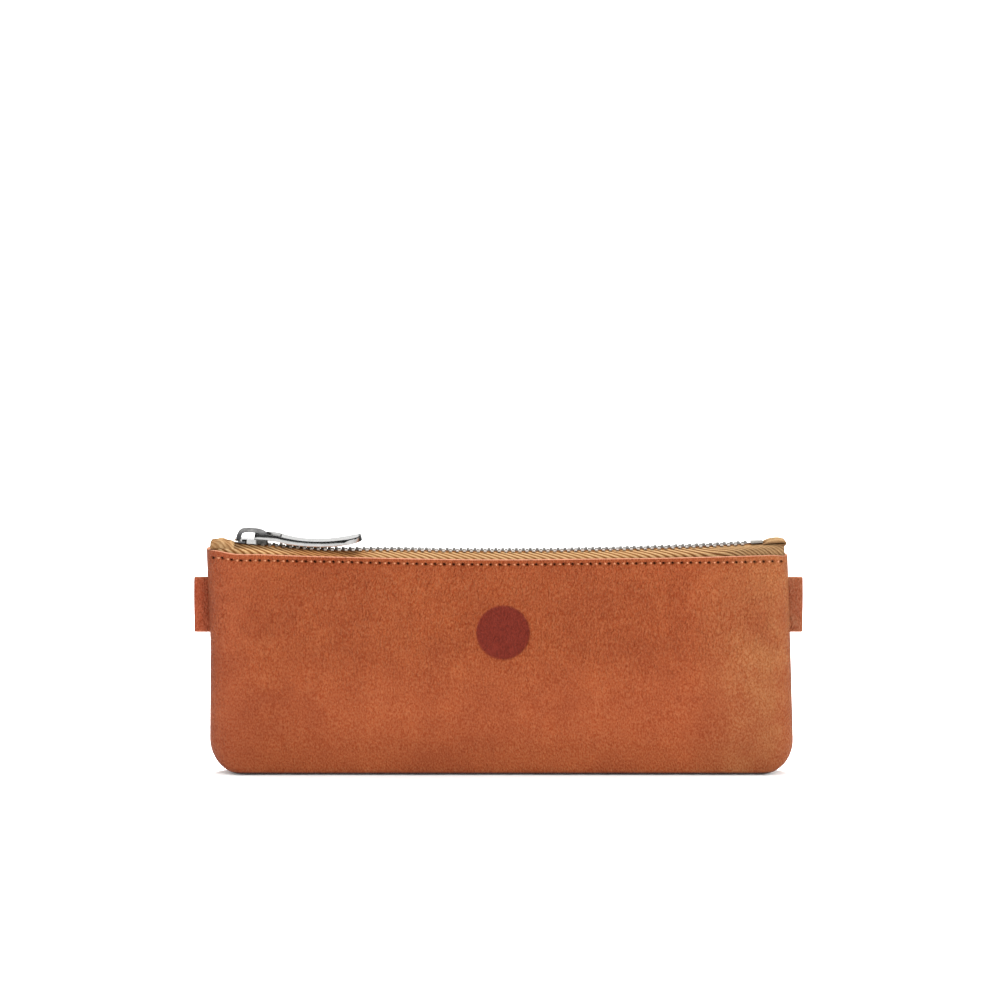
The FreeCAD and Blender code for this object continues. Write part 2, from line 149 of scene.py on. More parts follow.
# Side tabs
TAB_Z = 61.0
TAB_HEIGHT = 20.0
LEFT_TAB_TIP = 109.8
RIGHT_TAB_TIP = 108.9
TAB_TAIL = 98.5
TAB_LEATHER = 1.0
TAB_HALF = 1.1
TAB_SLOT = 1.15

# Wear, grain and painted light and shade, as the places where each kind starts and is full, or as those
# distances from its middle
CREASED_ABOVE = (12.0, 48.0)
NAP_ABOVE = (20.0, 50.0)
NAP_WITHIN = (96.0, 56.0)
LIT_BAND_BELOW = (46.0, 26.0)
LIT_BAND_ABOVE = (1.0, 16.0)
LIT_BAND_WITHIN = (102.0, 60.0)
FADE_AND_SHEEN_ALONG = (68.0, 98.0)
FADE_AND_SHEEN_BELOW = (74.0, 56.0)
LEFT_HIGHLIGHT_ALONG = (-84.0, -100.0)
DARK_GROOVES_ALONG = (50.0, 85.0)
PULL_SHADOW_X = -62.0
PULL_SHADOW_REACH = (19.0, 9.0)
LIT_TAPE_X = -86.0
LIT_TAPE_REACH = (9.5, 6.5)
TEETH_SHADOW_ALONG = (-54.0, -72.0)
ARCH_HIGHLIGHT_ABOVE = (86.5, 87.7)
DARK_TIP_ALONG = (-51.1, -50.4)

# Where the front leather, stitches, tape and teeth are split into a left and a right half
SPLIT_X = -12.0


# Small helpers on numbers
def smooth(low, high, value):
    """A soft step from 0 at low to 1 at high."""
    t = np.clip((value - low) / (high - low), 0, 1)
    return t * t * (3 - 2 * t)


def hill(value, middle, width):
    return np.exp(-((value - middle) / width) ** 2)


def rounded(points, times=3):
    """An open path with its corners cut again and again until it is smooth."""
    path = np.asarray(points, float)
    for _ in range(times):
        near = path[:-1] * 0.75 + path[1:] * 0.25
        far = path[:-1] * 0.25 + path[1:] * 0.75
        inner = np.stack([near, far], axis=1).reshape(-1, path.shape[1])
        path = np.concatenate([path[:1], inner, path[-1:]])
    return path


def together(*parts):
    """Coordinates as one array of points."""
    return np.stack(np.broadcast_arrays(*parts), axis=-1)


def path_length(path):
    return np.concatenate([[0], np.cumsum(np.linalg.norm(np.diff(path, axis=0), axis=1))])


def resample(path, distances):
    """Points of a path at the given distances along it."""
    lengths = path_length(path)
    return together(*[np.interp(distances, lengths, axis) for axis in path.T])


def side_of(path):
    """Unit vectors square to a flat path, on its left."""
    ahead = np.gradient(path, axis=0)
    ahead /= np.linalg.norm(ahead, axis=1)[:, None]
    return together(-ahead[:, 1], ahead[:, 0])


def beside(path, lift):
    """Both coordinates of places at given distances to the left of a flat path's points."""
    side = side_of(path)
    return path[:, :1] + side[:, :1] * lift, path[:, 1:] + side[:, 1:] * lift


def zip_rise(x):
    """How far the zip's arc has risen at a distance from the middle of the case."""
    return ZIP_RADIUS - np.sqrt(ZIP_RADIUS ** 2 - x ** 2)


def along_zip(points, distance):
    """Carry points made at mid length along the zip's arc."""
    turn = distance / CHAIN_RADIUS
    up = points[..., 2] - EDGE_HEIGHT - ZIP_RADIUS
    x = points[..., 0] * np.cos(turn) - up * np.sin(turn)
    z = points[..., 0] * np.sin(turn) + up * np.cos(turn) + EDGE_HEIGHT + ZIP_RADIUS
    return together(x, points[..., 1], z)


def chain_sag(distance):
    """How far the soft zip hangs below its arc, under the pull's weight."""
    return CHAIN_SAG * hill(distance, CHAIN_SAG_X, CHAIN_SAG_REACH)


def on_slider(points):
    """Carry points drawn round the slider's own centre to its place at the shut end."""
    return along_zip(points + [0, 0, CHAIN_Z], SLIDER_REST)


def mirrored(points):
    return points * [1, -1, 1]


# Meshes as pairs of points and faces
def quads(ids):
    return together(ids[:-1, :-1], ids[1:, :-1], ids[1:, 1:], ids[:-1, 1:]).reshape(-1, 4)


def shell(outer, inner, flip=False):
    """A closed sheet between two grids of points."""
    count = outer.shape[0] * outer.shape[1]
    top = np.arange(count).reshape(outer.shape[:2])
    low = top + count
    rims = [
        together(top[::-1, 0], low[::-1, 0]),
        together(top[:, -1], low[:, -1]),
        together(top[0], low[0]),
        together(top[-1, ::-1], low[-1, ::-1]),
    ]
    faces = np.concatenate([quads(top), quads(low)[:, ::-1]] + [quads(rim) for rim in rims])
    points = np.concatenate([outer.reshape(-1, 3), inner.reshape(-1, 3)])
    return points, (faces[:, ::-1] if flip else faces).tolist()


def loft(rings):
    """A closed tube through rings of points, with capped ends."""
    steps, around = rings.shape[:2]
    ids = np.arange(steps * around).reshape(steps, around)
    ids = np.concatenate([ids, ids[:, :1]], axis=1)
    faces = quads(ids).tolist()
    faces += [ids[0, :-1].tolist(), ids[-1, :-1][::-1].tolist()]
    return rings.reshape(-1, 3), faces


def turned_round(points, faces):
    """A mesh mirrored from the front to the back."""
    return mirrored(points), [face[::-1] for face in faces]


def joined(parts):
    """Several meshes as one."""
    points = []
    faces = []
    start = 0
    for part_points, part_faces in parts:
        points.append(part_points)
        faces += [[start + i for i in face] for face in part_faces]
        start += len(part_points)
    return np.concatenate(points), faces


def add_object(name, data):
    made = bpy.data.objects.new(name, data)
    scene.collection.objects.link(made)
    return made


def add_piece(name, mesh_parts, material, sharp_angle, **attributes):
    """A mesh object in the row frame that remembers each point's place at rest, in millimetres."""
    points, faces = mesh_parts
    mesh = bpy.data.meshes.new(name)
    mesh.from_pydata((points * MM).tolist(), [], faces)
    mesh.shade_smooth()
    mesh.set_sharp_from_angle(angle=math.radians(sharp_angle))
    rest = mesh.attributes.new("rest", "FLOAT_VECTOR", "POINT")
    rest.data.foreach_set("vector", points.astype(np.float32).ravel())
    for attribute_name, values in attributes.items():
        kind, field = ("FLOAT_VECTOR", "vector") if np.ndim(values) == 2 else ("FLOAT", "value")
        attribute = mesh.attributes.new(attribute_name, kind, "POINT")
        attribute.data.foreach_set(field, np.asarray(values, np.float32).ravel())
    mesh.materials.append(material)
    return add_object(name, mesh)


def shaded_piece(name, parts, material, flip):
    """Several meshes with their shades as one piece, on the front or mirrored to the back."""
    points, faces = joined([mesh for mesh, _ in parts])
    if flip:
        points, faces = turned_round(points, faces)
    shade = np.concatenate([shade for _, shade in parts])
    # The shades are stored as the lift attribute: painted shade and highlight for the tape and thread
    # materials
    return add_piece(name, (points, faces), material, 60, lift=shade)


def bend_with_zip(piece):
    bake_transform(piece)


# Materials
def add_node(tree, kind, settings=None, **inputs):
    """A shader node whose inputs are set or, where a socket is given, linked."""
    made = tree.nodes.new("ShaderNode" + kind)
    for name, value in (settings or {}).items():
        setattr(made, name, value)
    fill(tree, made, **inputs)
    return made


def fill(tree, node, **inputs):
    for name, value in inputs.items():
        put(tree, node.inputs[name.replace("_", " ")], value)


def put(tree, socket, value):
    if isinstance(value, bpy.types.NodeSocket):
        tree.links.new(value, socket)
    elif socket.type == "RGBA":
        socket.default_value = (*value, 1)
    else:
        socket.default_value = value


def calc(tree, operation, first, second=0.0):
    made = add_node(tree, "Math")
    made.operation = operation
    put(tree, made.inputs[0], first)
    put(tree, made.inputs[1], second)
    return made.outputs[0]


def product(tree, *factors):
    result = factors[0]
    for factor in factors[1:]:
        result = calc(tree, "MULTIPLY", result, factor)
    return result


def away_from(tree, value, middle=0.0):
    return calc(tree, "ABSOLUTE", calc(tree, "SUBTRACT", value, middle))


def axes(tree, vector):
    return add_node(tree, "SeparateXYZ", Vector=vector).outputs


def mix(tree, factor, first, second, blend_type="MIX"):
    made = add_node(tree, "Mix")
    made.data_type = "RGBA"
    made.blend_type = blend_type
    put(tree, made.inputs[0], factor)
    put(tree, made.inputs[6], first)
    put(tree, made.inputs[7], second)
    return made.outputs[2]


def tinted(tree, share, colour, tint):
    """A colour multiplied by a tint, as far as its share goes."""
    return mix(tree, share, colour, mix(tree, 1.0, colour, tint, "MULTIPLY"))


def ramp(tree, value, low=0.3, high=0.7, to_low=0.0, to_high=1.0):
    """A value spread out between two others, by default over the usual range of cloud noise."""
    made = add_node(tree, "MapRange")
    for i, part in enumerate((value, low, high, to_low, to_high)):
        put(tree, made.inputs[i], part)
    return made.outputs[0]


def noise(tree, place, scale, detail=3.0, roughness=0.55, stretch=None):
    """Cloud noise with a scale in features per unit of place."""
    if stretch:
        place = add_node(tree, "Mapping", Vector=place, Scale=stretch).outputs[0]
    made = add_node(tree, "TexNoise", Vector=place, Scale=scale, Detail=detail, Roughness=roughness)
    return made.outputs[0]


def read(tree, name, output="Vector"):
    return add_node(tree, "Attribute", {"attribute_name": name}).outputs[output]


def new_material(name):
    material = bpy.data.materials.new(name)
    material.use_nodes = True
    tree = material.node_tree
    return material, tree, tree.nodes["Principled BSDF"]


def bumped(tree, shader, height, distance, strength=1.0):
    made = add_node(tree, "Bump", Height=height, Distance=distance, Strength=strength)
    fill(tree, shader, Normal=made.outputs[0])


def crinkles(tree, place):
    """1 along short creases of the grain, strongest in patches of the upper half."""
    cells = add_node(tree, "Mapping", Vector=place, Scale=(1.35, 1.0, 0.7)).outputs[0]
    edges = add_node(tree, "TexVoronoi", {"feature": "DISTANCE_TO_EDGE"}, Vector=cells, Scale=0.62)
    crease = ramp(tree, edges.outputs[0], 0.16, 0.02)
    upper = ramp(tree, axes(tree, place)["Z"], *CREASED_ABOVE, 0.25)
    patchy = ramp(tree, noise(tree, place, 0.3, 3.0, 0.6), 0.3, 0.65, 0.25)
    return product(tree, crease, upper, patchy)


def leather_fade_and_painted_light(tree, where, clouds, colour):
    """The colour with painted light: lighter on the low bulge, paler to the right as faded dye and a
    painted sheen, and a painted highlight toward the left end.
    """
    # Painted light: lighter on the low bulge
    lit_band = product(
        tree,
        ramp(tree, where["Z"], *LIT_BAND_BELOW),
        ramp(tree, where["Z"], *LIT_BAND_ABOVE),
        ramp(tree, away_from(tree, where["X"]), *LIT_BAND_WITHIN),
    )
    colour = tinted(tree, lit_band, colour, (1.16, 1.19, 1.24))
    # Paler to the right: partly faded dye, partly a painted sheen
    fade_and_sheen = product(
        tree,
        ramp(tree, clouds, 0.2, 0.6, 0.5),
        ramp(tree, where["X"], *FADE_AND_SHEEN_ALONG),
        ramp(tree, where["Z"], *FADE_AND_SHEEN_BELOW, 0.65),
    )
    colour = tinted(tree, fade_and_sheen, colour, (1.07, 1.63, 1.85))
    # Painted highlight toward the left end
    return tinted(tree, ramp(tree, where["X"], *LEFT_HIGHLIGHT_ALONG), colour, (1.02, 1.03, 1.2))


def leather_material(name, dark, light):
    """Vegetable-tanned leather: cloudy colour, pores, raw cut edges and a suede inside, with painted
    shade in the needle holes and a painted contact shadow along the bottom.
    """
    material, tree, shader = new_material(name)
    place = read(tree, "rest")
    disc, raw, painted_shade = axes(tree, read(tree, "finish"))
    where = axes(tree, place)
    clouds = ramp(tree, noise(tree, place, 0.05, 5.0, 0.6))
    patches = ramp(tree, noise(tree, place, 0.22, 5.0, 0.62, (1.0, 1.0, 0.75)), 0.35, 0.68)
    flecks = noise(tree, place, 1.6, 3.0, 0.6, (1.25, 1.0, 0.75))
    fibre = noise(tree, place, 2.2, 5.0, 0.7)
    crinkle = crinkles(tree, place)
    nap = noise(tree, place, 1.2, 1.5, 0.5, (1.5, 1.0, 0.62))
    napped = product(
        tree,
        ramp(tree, where["Z"], *NAP_ABOVE, 0.2),
        ramp(tree, away_from(tree, where["X"]), *NAP_WITHIN, 0.3),
    )

    colour = mix(tree, clouds, dark, light)
    colour = mix(tree, product(tree, patches, 0.22), colour, dark)
    rubbed = mix(tree, ramp(tree, flecks, 0.36, 0.64), (0.84, 0.63, 0.47), (1.13, 1.35, 1.56))
    colour = mix(tree, 1.0, colour, rubbed, "MULTIPLY")
    colour = tinted(tree, crinkle, colour, (0.93, 0.84, 0.78))
    stroke = mix(tree, ramp(tree, nap, 0.38, 0.62), (0.96, 0.89, 0.8), (1.04, 1.1, 1.18))
    colour = tinted(tree, napped, colour, stroke)
    colour = leather_fade_and_painted_light(tree, where, clouds, colour)
    stain = mix(tree, ramp(tree, flecks), (0.054, 0.0072, 0.004), (0.0918, 0.01224, 0.0068))
    colour = mix(tree, disc, colour, stain)
    suede = mix(tree, ramp(tree, fibre), (0.2, 0.08, 0.045), (0.3, 0.14, 0.085))
    colour = mix(tree, raw, colour, suede)
    # Painted shade, near black, in the needle holes and under the bottom edge
    colour = mix(tree, painted_shade, colour, (0.006, 0.0008, 0.0002))

    pores = add_node(
        tree, "TexVoronoi", {"feature": "SMOOTH_F1"}, Vector=place, Scale=1.1, Smoothness=0.5
    )
    grain = calc(tree, "ADD", product(tree, pores.outputs[0], 0.7), flecks)
    grain = calc(tree, "ADD", grain, product(tree, fibre, 0.35))
    grain = calc(tree, "SUBTRACT", grain, product(tree, crinkle, 0.6))
    grain = calc(tree, "ADD", grain, product(tree, nap, napped, 2.2))
    bumped(tree, shader, grain, 0.32 * MM)
    gloss = calc(tree, "ADD", ramp(tree, patches, 0.0, 1.0, 0.42, 0.56), product(tree, raw, 0.35))
    fill(tree, shader, Base_Color=colour, Roughness=gloss, Specular_IOR_Level=0.07)
    return material


def tape_material():
    """Woven zip tape: pale raised ribs with painted shade in the grooves and fine yarns, a painted shadow
    under the pull and painted light beside the slider.
    """
    material, tree, shader = new_material("zip_tape_weave")
    place = read(tree, "rest")
    along = axes(tree, place)["X"]
    yarn = noise(tree, place, 2.4, 4.0, 0.65)
    rib = mix(tree, ramp(tree, yarn), (0.16, 0.0917, 0.0386), (0.261, 0.1775, 0.096))
    # Painted shade in the grooves between the ribs, deeper toward the right end
    darker = ramp(tree, along, *DARK_GROOVES_ALONG)
    groove = mix(tree, darker, (0.066, 0.0235, 0.0054), (0.036, 0.011, 0.0023))
    colour = mix(tree, ramp(tree, read(tree, "lift", "Fac"), 0.36, 0.95), groove, rib)
    aged = ramp(tree, noise(tree, place, 0.12), 0.35, 0.7, 0.0, 0.26)
    colour = mix(tree, aged, colour, (0.12, 0.055, 0.018))
    # Painted shadow of the pull on the tape
    pull_shadow_on_tape = ramp(tree, away_from(tree, along, PULL_SHADOW_X), *PULL_SHADOW_REACH)
    colour = tinted(tree, pull_shadow_on_tape, colour, (0.72, 0.56, 0.42))
    # Painted light on the tape beside the slider, lifting its shade
    lit_tape = ramp(tree, away_from(tree, along, LIT_TAPE_X), *LIT_TAPE_REACH)
    colour = tinted(tree, lit_tape, colour, (1.22, 1.18, 1.13))
    bumped(tree, shader, yarn, 0.1 * MM, 0.6)
    gloss = ramp(tree, yarn, 0.0, 1.0, 0.7, 0.9)
    fill(tree, shader, Base_Color=colour, Roughness=gloss, Specular_IOR_Level=0.08)
    return material


def thread_material():
    """Waxed two-ply thread, darkened by its painted shade."""
    material, tree, shader = new_material("waxed_thread")
    fibre = noise(tree, read(tree, "rest"), 4.0)
    ply = mix(tree, ramp(tree, fibre), (0.26, 0.106, 0.052), (0.36, 0.171, 0.0945))
    # Painted shade and highlight from the lift attribute
    colour = mix(tree, read(tree, "lift", "Fac"), (0.125, 0.032, 0.01), ply)
    bumped(tree, shader, fibre, 0.06 * MM, 0.6)
    gloss = ramp(tree, fibre, 0.0, 1.0, 0.42, 0.62)
    fill(tree, shader, Base_Color=colour, Roughness=gloss, Specular_IOR_Level=0.1)
    return material


def metal_material(name, tint, roughness, shine=1.0, coats=()):
    """Nickel with fine scuffs, duller where its shine is less than 1.

    Each coat is a function that says where it lies, with its darkest and its lightest colour; the coats
    here are painted shade, shadows, a highlight and dark reflections.
    """
    material, tree, shader = new_material(name)
    place = add_node(tree, "TexCoord").outputs["Object"]
    place = add_node(tree, "Mapping", Vector=place, Scale=[1 / MM] * 3).outputs[0]
    scuffs = noise(tree, place, 1.1, 5.0, 0.7, (0.35, 2.5, 2.5))
    tarnish = ramp(tree, noise(tree, place, 0.5), 0.3, 0.75)
    colour = mix(tree, tarnish, tint, [0.82 * c for c in tint])
    facing = add_node(tree, "NewGeometry").outputs["Normal"]
    for covers, dark, light in coats:
        share = covers(tree, axes(tree, place), axes(tree, facing))
        colour = mix(tree, share, colour, mix(tree, tarnish, dark, light))
    bumped(tree, shader, scuffs, 0.02 * MM, 0.35)
    gloss = ramp(tree, scuffs, 0.3, 0.75, *roughness)
    fill(tree, shader, Base_Color=colour, Roughness=gloss, Metallic=shine)
    return material


def shaded_flank(tree, where, facing):
    """Painted shade on the slider's flanks, on both sides of their polished run."""
    start, end = BRIGHT_FLANK
    half_run = (end - start) / 2
    beyond = ramp(tree, away_from(tree, where["X"], (start + end) / 2), half_run, half_run + 0.5)
    flank = ramp(tree, away_from(tree, facing["Y"]), 0.4, 0.7)
    return product(tree, flank, beyond)


def arch_top_highlight(tree, where, facing):
    """A painted highlight on the top of the arch."""
    return ramp(tree, where["Z"], *ARCH_HIGHLIGHT_ABOVE)


def dark_tip(tree, where, facing):
    """A painted dark reflection at the end of the pull."""
    return ramp(tree, where["X"], *DARK_TIP_ALONG)


def looking_up(tree, where, facing):
    """Faces that look up, where the teeth get a painted dark reflection."""
    return ramp(tree, facing["Z"], 0.05, 0.45)


def teeth_in_pull_shadow(tree, where, facing):
    """The stretch of teeth under the pull, where the pull's shadow is painted on them."""
    return ramp(tree, where["X"], *TEETH_SHADOW_ALONG, 0.0, 0.85)


body_leather = leather_material("body_leather_grain", (0.119, 0.0258, 0.0081), (0.153, 0.0374, 0.0115))
# The two tabs are one leather: the left tab's colour is painted lighter and the right tab's darker,
# standing in for how the light falls on them
left_tab_leather = leather_material("left_tab_grain", (0.136, 0.0262, 0.0088), (0.17, 0.0372, 0.0128))
right_tab_leather = leather_material("right_tab_grain", (0.11, 0.0225, 0.0088), (0.138, 0.032, 0.0128))
zip_tape = tape_material()
waxed_thread = thread_material()

POLISHED = (0.64, 0.635, 0.625)
POLISHED_ROUGH = (0.1, 0.26)
DARK_ROUGH = (0.24, 0.4)
DULL_ROUGH = (0.36, 0.52)
DULL_SHINE = 0.72
# Coats of painted light: shade on the slider's flanks, a dark reflection at the pull's tip, a highlight
# on the arch's top, dark reflections on the teeth's tops and the pull's shadow on the teeth
flank_shade_coat = (shaded_flank, (0.03, 0.03, 0.028), (0.13, 0.12, 0.11))
dark_tip_coat = (dark_tip, (0.03, 0.03, 0.03), (0.08, 0.08, 0.08))
arch_highlight_coat = (arch_top_highlight, (0.1, 0.1, 0.1), (0.3, 0.295, 0.29))
dark_tops_coat = (looking_up, (0.14, 0.13, 0.12), (0.23, 0.22, 0.205))
pull_shadow_coat = (teeth_in_pull_shadow, (0.05, 0.032, 0.018), (0.19, 0.145, 0.105))
pull_metal = metal_material("pull_nickel", POLISHED, POLISHED_ROUGH, coats=[dark_tip_coat])
slider_metal = metal_material("slider_nickel", POLISHED, POLISHED_ROUGH, coats=[flank_shade_coat])
arch_metal = metal_material("arch_nickel", (0.09, 0.09, 0.093), DARK_ROUGH, 0.6, [arch_highlight_coat])
top_stop_metal = metal_material("top_stop_nickel", (0.15, 0.15, 0.155), DARK_ROUGH)
stop_metal = metal_material("stop_nickel", (0.35, 0.325, 0.29), DULL_ROUGH, DULL_SHINE)
tooth_metal = metal_material(
    "tooth_nickel", (0.6, 0.57, 0.535), DULL_ROUGH, DULL_SHINE, [dark_tops_coat, pull_shadow_coat]
)


# Leather panels
def cut_edge(x):
    """Height of the leather's cut top edge, which rises less than the zip."""
    follow = 1 - 0.5 * smooth(5, 60, x) - 0.22 * smooth(-30, -80, x)
    flick = 0.85 * smooth(-94, -102, x) - 0.3 * smooth(-84, -93, x) - 0.75 * smooth(98, 105.5, x)
    return EDGE_HEIGHT + EDGE_LIFT + zip_rise(x) * follow + flick


def leaned(x, z):
    """Where a point of the leather lies once the two sides of the case lean."""
    left = -np.interp(z, LEAN_HEIGHTS, LEFT_LEAN)
    right = np.interp(z, LEAN_HEIGHTS, RIGHT_LEAN)
    return x + np.where(x < 0, left, right) * np.abs(x) / HALF_LENGTH


def rolled(inset, reach, low, top):
    """Depth of a sheet that rolls over from the seam and is flat beyond its reach."""
    left = np.clip(1 - inset / reach, 0, 1)
    return low + (top - low) * (1 - left ** ROLL_POWER) ** (1 / ROLL_POWER)


def swell(x, z, phase):
    """Bulge of the filled case and the leather's gentle waves."""
    along = np.clip(1 - (x / SWELL_HALF_LENGTH) ** 2, 0, 1)
    up = np.clip((z - SWELL_BOTTOM) / (SWELL_TOP - SWELL_BOTTOM), 0, 1)
    inside = along ** 1.5 * np.sqrt(np.clip(up * (1 - up) * 4, 0, 1))
    bulge = SWELL * along ** 1.5 * 6.75 * up * (1 - up) ** 1.5 / 1.25
    waves = 0.22 * np.sin(x / 21 + phase) * np.sin(z / 17 + 1 + phase)
    waves = waves + 0.12 * np.sin((x + 0.7 * z) / 9.5 - phase)
    return bulge + waves * inside


def stitch_line(x):
    """Height of the row of stitches below the cut edge."""
    return cut_edge(np.clip(x, -99, 101)) - STITCH_DROP - STITCH_END_DROP * smooth(55, 95, np.abs(x))


def stitch_holes(x, z):
    """1 in the middle of each slanted needle hole, falling to 0 at its rim."""
    across = ((x / STITCH_PITCH + 0.5) % 1 - 0.5) * STITCH_PITCH
    up = z - stitch_line(x)
    slant = across - 0.3 * up
    lean = up + 0.3 * across
    near = (slant / 0.58) ** 2 + (lean / 0.43) ** 2
    in_row = (x > (FIRST_STITCH - 0.5) * STITCH_PITCH) & (x < (LAST_STITCH + 0.5) * STITCH_PITCH)
    return np.exp(-near ** 2) * in_row


def stitch_relief(x, z):
    """The tuck along the stitches, the puff below them and a wrinkle at the left end."""
    line = z - stitch_line(x)
    tuck = 0.2 * hill(line, 0, 0.8) * (0.75 + 0.25 * np.cos(2 * math.pi * x / STITCH_PITCH))
    puff = 0.12 * hill(line, -2.2, 1.3)
    wrinkle = 0.13 * hill(z, 75.3 + 0.015 * x, 0.45) * smooth(-88, -93, x)
    return puff - tuck - wrinkle


def front_depth(x, z, phase):
    """Depth of the leather's outside away from the bottom and its corners."""
    depth = rolled(HALF_LENGTH - np.abs(x), ROLL_REACH, SEAM_WALL, RIM_DEPTH)
    return depth + swell(x, z, phase) + stitch_relief(x, z)


def pressed_disc(x, z):
    """1 inside the pressed disc and 0 outside it."""
    radius = np.hypot(x - DISC_X, z - DISC_Z)
    return smooth(DISC_RADIUS + 0.3, DISC_RADIUS - 0.45, radius)


def roll_place(part):
    """Place of a part of the roll on the border's run, which starts with the turned allowance."""
    return ROLL_START + (1 - ROLL_START) * np.asarray(part, float)


def roll_table(inner, power):
    """Insets from the outline and depths, from the tip of the turned allowance to the flat front."""
    theta = np.linspace(0, math.pi / 2, 40)
    shift = LEATHER if inner else 0
    insets = (ROLL_REACH - shift) * (1 - np.cos(theta) ** (2 / power))
    share = np.sin(theta) ** (2 / power)
    tip = LEATHER + ALLOWANCE
    if inner:
        turned = [(tip, LEATHER), (3.2, LEATHER), (2.2, 1.75), (1.7, 2.4)]
        low = INNER_WALL
    else:
        turned = [(tip, SEAM_GAP), (1.6, SEAM_GAP), (0.6, 0.16), (0.13, 0.75)]
        low = SEAM_WALL
    top = RIM_DEPTH - shift
    roll = list(zip(insets + shift, low + (top - low) * share))
    table = np.array(turned + roll + [(CORNER_RADIUS, top)])
    flat = CORNER_RADIUS - shift
    rest = roll_place(np.concatenate([insets, [flat]]) / flat)
    return np.concatenate([TURNED_PLACES, rest]), table[:, 0], table[:, 1]


def panel_samples(disc):
    """Places of the grid's columns and rows across the rolled border and the flat front."""
    early = TURNED_PLACES + list(roll_place([0, 0.004, 0.015, 0.035, 0.065, 0.1, 0.14]))
    fine = list(np.linspace(roll_place(0.17), 1, 28)[:-1])
    coarse = list(np.linspace(roll_place(0.18), 1, 12)[:-1])
    half = HALF_LENGTH - CORNER_RADIUS
    columns = np.linspace(-half, half, int(2 * half / (STITCH_PITCH / 10)) + 1)
    low = DISC_Z - DISC_RADIUS - 1
    high = DISC_Z + DISC_RADIUS + 1
    middle = np.arange(low, high, 0.45 if disc else 1.2)
    band = EDGE_HEIGHT - np.array([4.6, 3.9, 3.3, 2.9, 2.6, 2.35, 2.1, 1.9, 1.7, 1.45, 1.2, 0.9, 0.6])
    lip = EDGE_HEIGHT - np.array([0.45, 0.32, 0.2, 0.1, 0.03, 0])
    rows = [
        np.linspace(CORNER_RADIUS, low, 24)[:-1],
        middle,
        np.linspace(high, EDGE_HEIGHT - 5.4, 11),
        band,
        lip,
    ]
    return early + fine, columns, early + coarse, np.concatenate(rows)


def panel_form(samples, inner):
    """Points of one face of the front leather before it swells: along, up and depth.

    Also the place on the border's run, which rows lie above it, and the drop below the cut edge.
    """
    side_q, columns, bottom_q, rows = samples
    border = len(side_q)
    q_x = np.concatenate([side_q, np.ones(len(columns)), side_q[::-1]])[:, None]
    q_z = np.concatenate([bottom_q, np.ones(len(rows))])
    flat_x = HALF_LENGTH - CORNER_RADIUS
    side = np.sign(np.arange(len(q_x)) - len(q_x) / 2)[:, None]
    x_in = np.concatenate([np.full(border, -flat_x), columns, np.full(border, flat_x)])[:, None]
    z_in = np.concatenate([np.full(len(bottom_q), CORNER_RADIUS), rows])

    q = np.minimum(q_x, q_z)
    p_x = 1 - q_x + 0 * q
    p_z = 1 - q_z + 0 * q
    largest = np.maximum(np.maximum(p_x, p_z), 1e-9)
    swing = math.pi / 4 * np.minimum(p_x, p_z) / largest
    angle = np.where(p_x >= p_z, swing, math.pi / 2 - swing)
    inset = 0
    depth = 0
    downward = smooth(0.3, 1.2, angle)
    for power, share in ((ROLL_POWER, 1 - downward), (BOTTOM_POWER, downward)):
        table_q, table_inset, table_depth = roll_table(inner, power)
        inset = inset + share * np.interp(q, table_q, table_inset)
        depth = depth + share * np.interp(q, table_q, table_depth)
    radius = CORNER_RADIUS - inset
    x = x_in + np.where(p_x > 0, side * radius * np.cos(angle), 0)
    z = z_in - np.where(p_z > 0, radius * np.sin(angle), 0)

    above = q_z == 1
    z = z + smooth(30, 68, z_in) * (cut_edge(x) - EDGE_HEIGHT) * above
    pocket = TAB_SLOT * smooth(TAB_HEIGHT / 2 + 1.5, TAB_HEIGHT / 2, np.abs(z - TAB_Z)) * above
    depth = np.maximum(depth, pocket + (LEATHER if inner else SEAM_GAP))
    return x, z, depth, q, above, EDGE_HEIGHT - z_in


def panel_grid(samples, inner, disc, phase):
    """Points of one face of the front leather, with what the material needs to know about each."""
    x, z, depth, q, above, drop = panel_form(samples, inner)
    depth = depth + swell(x, z, phase)
    stamped = np.zeros_like(depth)
    raw = np.ones_like(depth)
    painted_shade = np.zeros_like(depth)
    if not inner:
        depth = depth + stitch_relief(x, z) * smooth(20, 40, z) * smooth(0.2, 0.3, q)
        holes = stitch_holes(x, z) * smooth(0.25, 0.3, q)
        depth = depth - HOLE_DEPTH * holes
        if disc:
            stamped = pressed_disc(x, z)
            rim = np.hypot(x - DISC_X, z - DISC_Z) - DISC_RADIUS
            depth = depth - DISC_DEPTH * stamped + 0.1 * hill(rim, 0.7, 0.45)
        rounding = np.clip(1 - drop / EDGE_ROUNDING, 0, 1) * above
        depth = depth - EDGE_ROUNDING_DEPTH * rounding ** 2 * smooth(0.15, 0.3, q)
        raw = np.clip(smooth(0.3, 0.12, drop) * above + (q < 0.01), 0, 1)
        # Painted shade in the needle holes and a painted contact shadow under the bottom edge
        painted_shade = np.maximum(holes, BOTTOM_SHADE * smooth(*BOTTOM_SHADE_HEIGHTS, z) * ~above)
    return together(leaned(x, z), -depth, z), together(stamped, raw, painted_shade)


def leather_panel(name, columns, grids, flip):
    """One leather sheet between its grain side and its suede side, over a run of grid columns."""
    outer, inner = [points[columns] for points, _ in grids]
    finish = np.concatenate([finish[columns].reshape(-1, 3) for _, finish in grids])
    if flip:
        outer, inner = mirrored(outer), mirrored(inner)
    piece = add_piece(name, shell(outer, inner, flip), body_leather, 60, finish=finish)
    return piece


